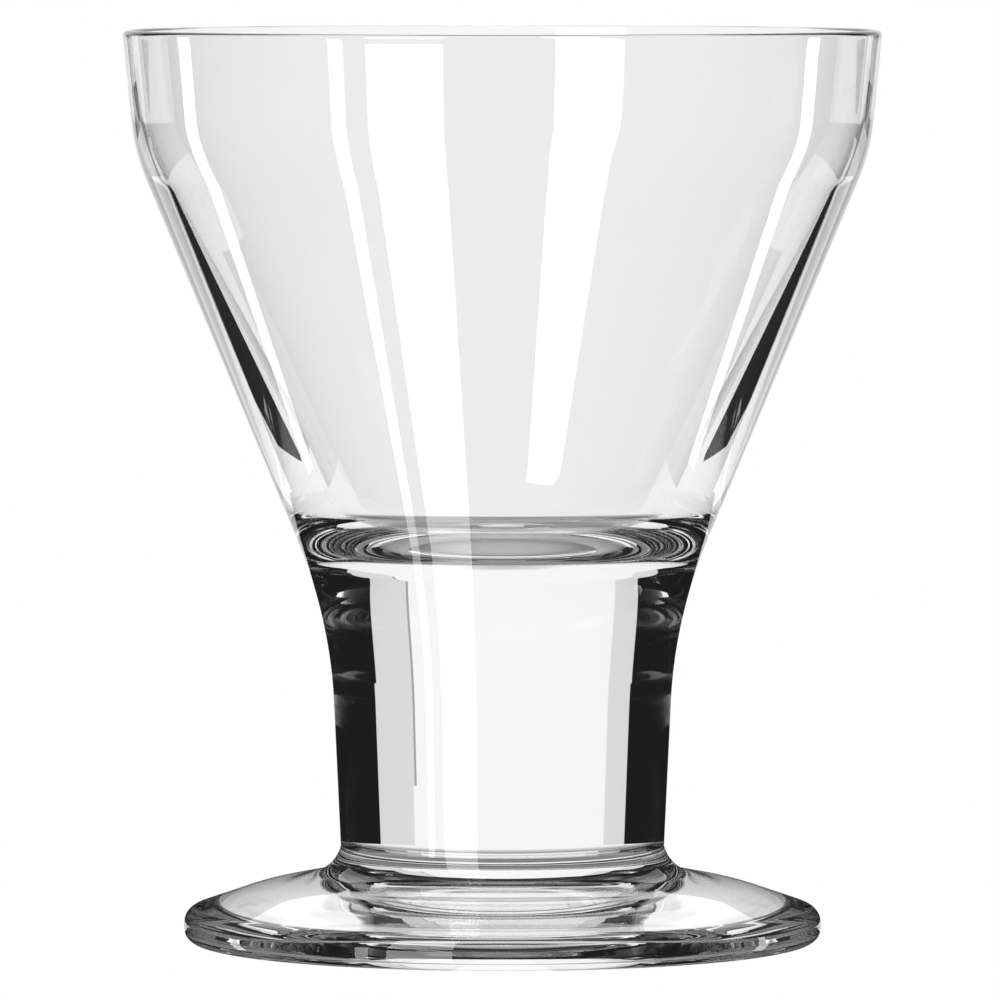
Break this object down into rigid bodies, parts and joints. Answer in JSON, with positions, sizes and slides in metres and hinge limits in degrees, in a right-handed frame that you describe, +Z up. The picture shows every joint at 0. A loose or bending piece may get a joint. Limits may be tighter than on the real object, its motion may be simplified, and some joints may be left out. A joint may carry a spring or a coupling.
{
  "type": "footed sherbet glass",
  "caption": "Clear footed sherbet glass: a flared bowl with a thick bottom and upright rim band, on a short solid stem and a round sloping foot.",
  "frame": {"origin": "middle of the foot, on the surface that the glass stands on", "axes": "+Z up along the axis of the glass, towards the open bowl; X and Y level"},
  "size_m": [0.0826, 0.0826, 0.0994],
  "materials": {
    "clear_glass": "clear, fire-polished soda-lime glass"
  },
  "bodies": {
    "root": {"bowl": "clear_glass", "stem": "clear_glass", "foot": "clear_glass"}
  },
  "joints": []
}
